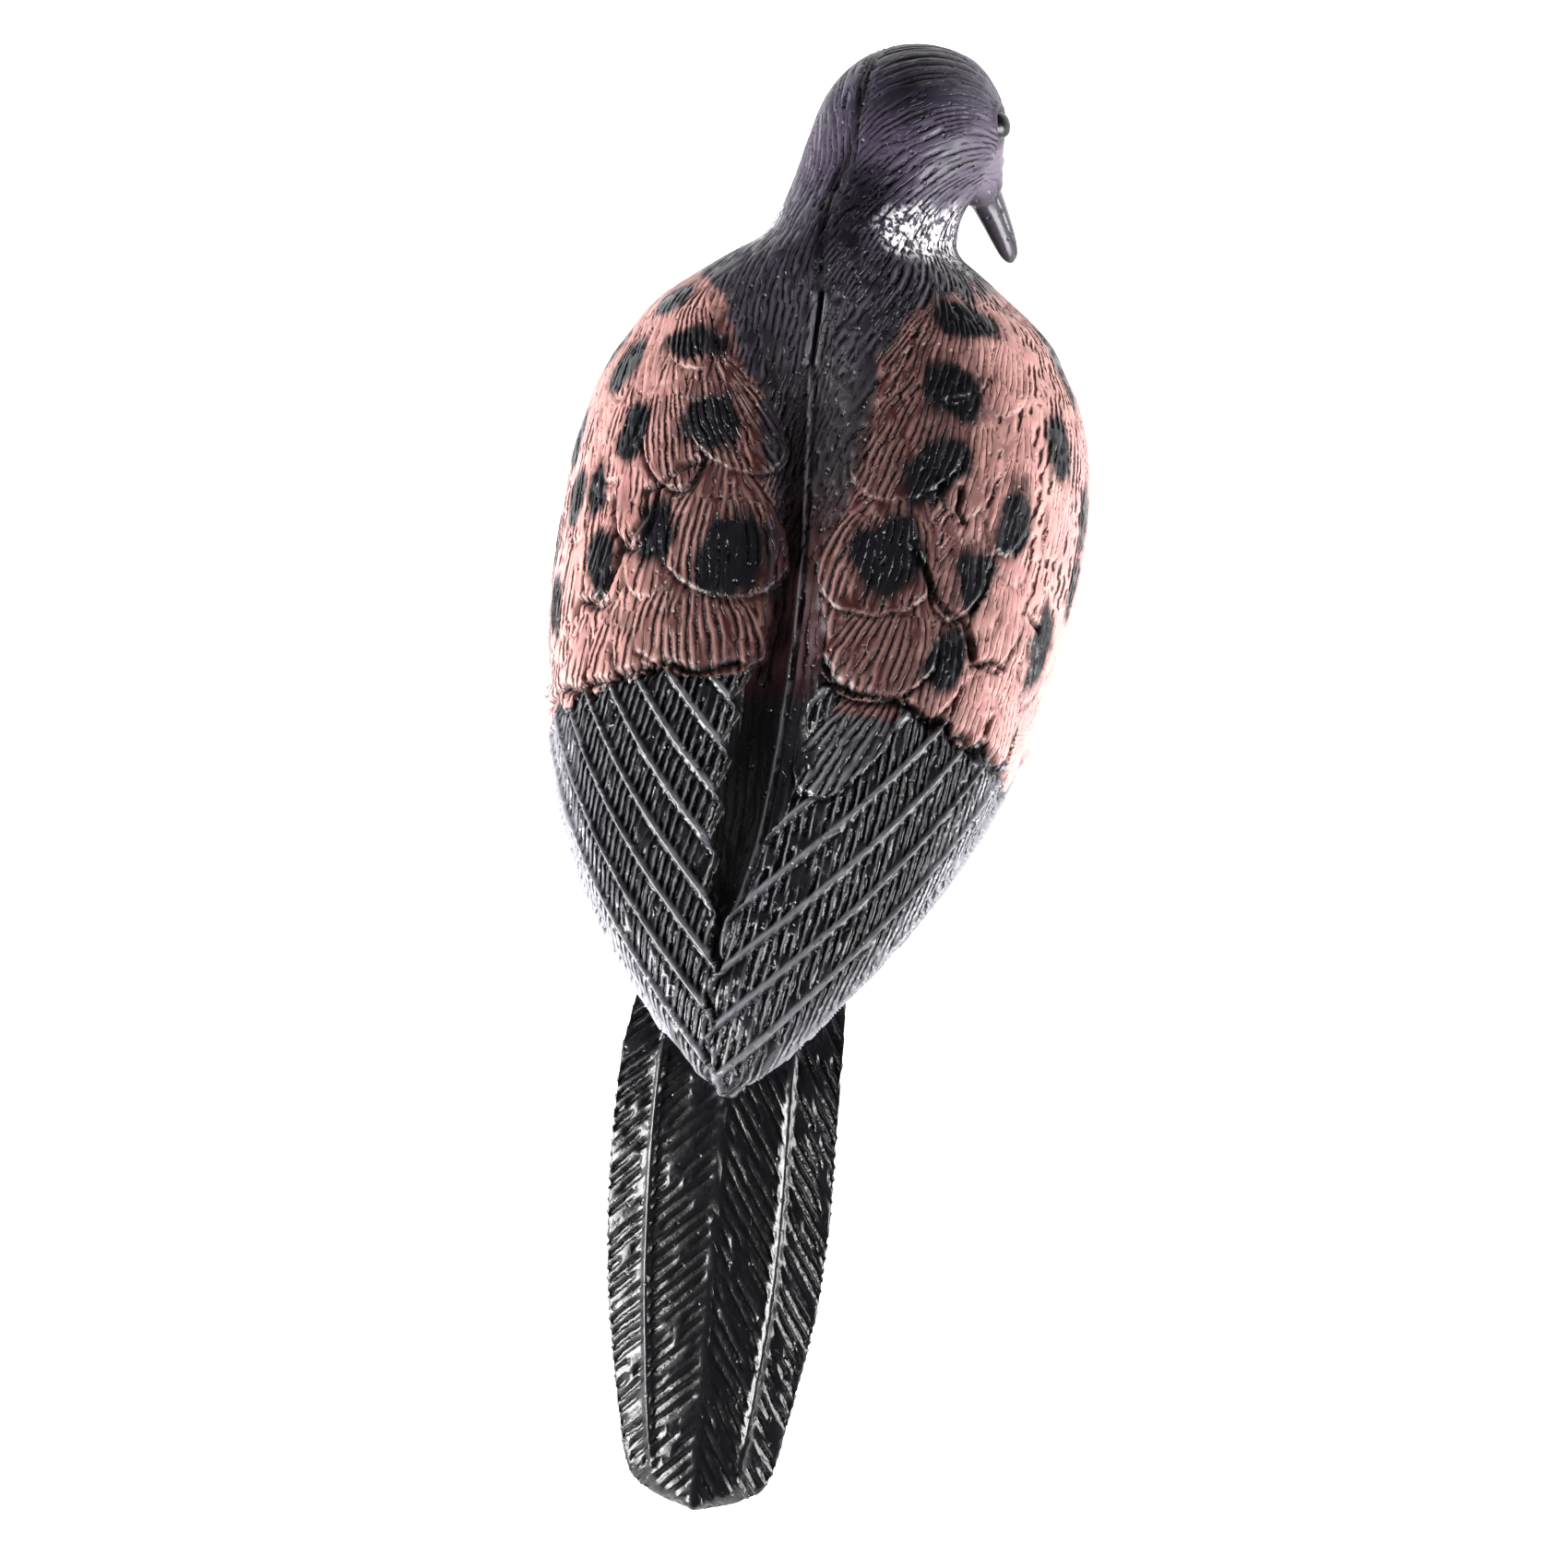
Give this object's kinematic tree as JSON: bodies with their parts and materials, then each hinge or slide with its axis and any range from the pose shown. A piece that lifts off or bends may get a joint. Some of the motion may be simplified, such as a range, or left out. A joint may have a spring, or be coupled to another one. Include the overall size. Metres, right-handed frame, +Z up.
{
  "type": "dove decoy",
  "caption": "Moulded plastic dove decoy with folded wings, long tail and bowed head turned to its right, set out to draw live birds.",
  "frame": {"origin": "middle of the small flat under the breast, on the plane that the decoy lies on", "axes": "+Y towards the head, +Z up with the decoy lying on its breast and tail tip, +X the bird's right"},
  "size_m": [0.1114, 0.3069, 0.1072],
  "materials": {
    "painted_plastic": "satin paint: purple-grey head, salmon-brown coverts with black spots, charcoal flight feathers and tail"
  },
  "bodies": {
    "root": {"decoy": "painted_plastic"}
  },
  "joints": []
}
